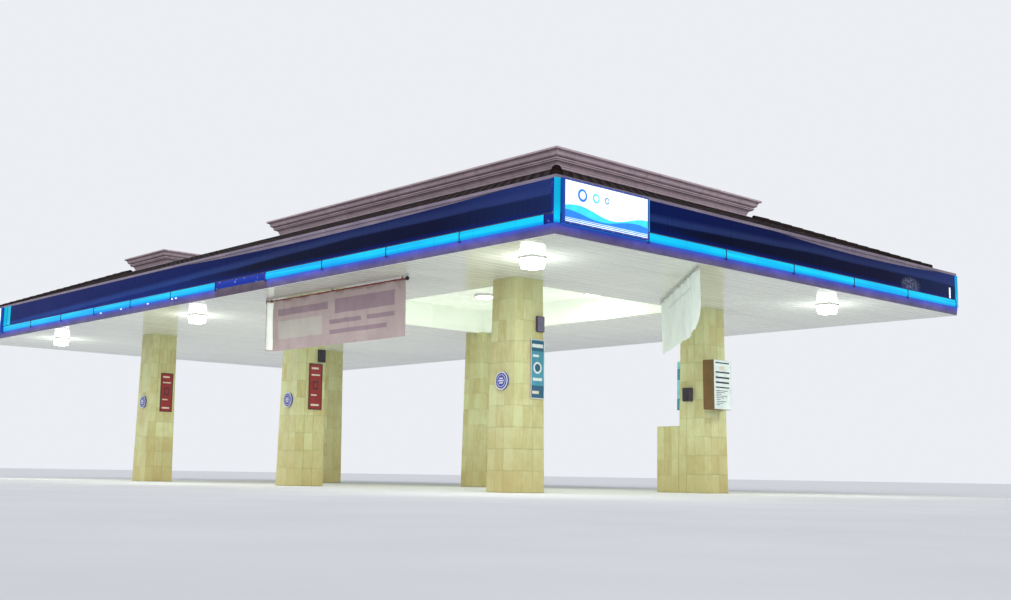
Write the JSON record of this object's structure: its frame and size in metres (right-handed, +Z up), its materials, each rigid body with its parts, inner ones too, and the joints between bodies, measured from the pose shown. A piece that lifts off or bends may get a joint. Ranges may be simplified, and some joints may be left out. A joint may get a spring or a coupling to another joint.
{
  "type": "filling station canopy",
  "caption": "Rectangular filling station canopy: flat soffit on battered stone-clad columns, lit fascia, lamp recess, low hipped roof and moulded cornices.",
  "frame": {"origin": "on the ground at the centre of the plan", "axes": "+X along the long front face, +Y from the front face to the back, +Z up"},
  "size_m": [32.216, 16.666, 7.99],
  "materials": {
    "stone": "honed travertine cladding",
    "soffit": "gloss white strip panels",
    "recess": "satin white",
    "steel": "primed steel",
    "trim": "folded violet-blue flashing",
    "fascia": "gloss dark blue sheet",
    "coping": "satin warm grey",
    "blue_light": "lit cyan lens",
    "sign_frame": "satin",
    "sign_face": "lit white acrylic",
    "roof": "dark brown clay tiles",
    "deck": "roofing membrane",
    "cornice": "matt beige render",
    "lamp_frame": "white",
    "lamp_lens": "lit prismatic lens",
    "rail": "galvanised",
    "banner": "thin printed cloth, bare",
    "board": "gloss panel",
    "plaque": "gloss disc",
    "speaker": "textured"
  },
  "bodies": {
    "root": {"column_front_right": "stone", "column_front_middle": "stone", "column_front_left": "stone", "column_back_right": "stone", "column_back_middle": "stone", "column_back_left": "stone", "low_pier": "stone", "soffit_front": "soffit", "soffit_back": "soffit", "soffit_left": "soffit", "soffit_right": "soffit", "recess_wall_front": "recess", "recess_wall_back": "recess", "recess_wall_left": "recess", "recess_wall_right": "recess", "recess_ceiling": "recess", "edge_beam_front": "steel", "edge_beam_back": "steel", "edge_beam_left": "steel", "edge_beam_right": "steel", "base_trim": "trim", "fascia_front": "fascia", "fascia_back": "fascia", "fascia_left": "fascia", "fascia_right": "fascia", "coping": "coping", "light_strips": "blue_light", "sign_boxes": "sign_frame", "sign_faces": "sign_face", "roof_front": "roof", "roof_back": "roof", "roof_left": "roof", "roof_right": "roof", "roof_deck": "deck", "hip_rolls": "roof", "cornice_large": "cornice", "cornice_small": "cornice", "lamp_frames": "lamp_frame", "lamp_lenses": "lamp_lens", "banner_rails": "rail", "banner_front": "banner", "banner_side": "banner", "column_boards": "board", "round_plaques": "plaque", "speakers": "speaker"}
  },
  "joints": []
}
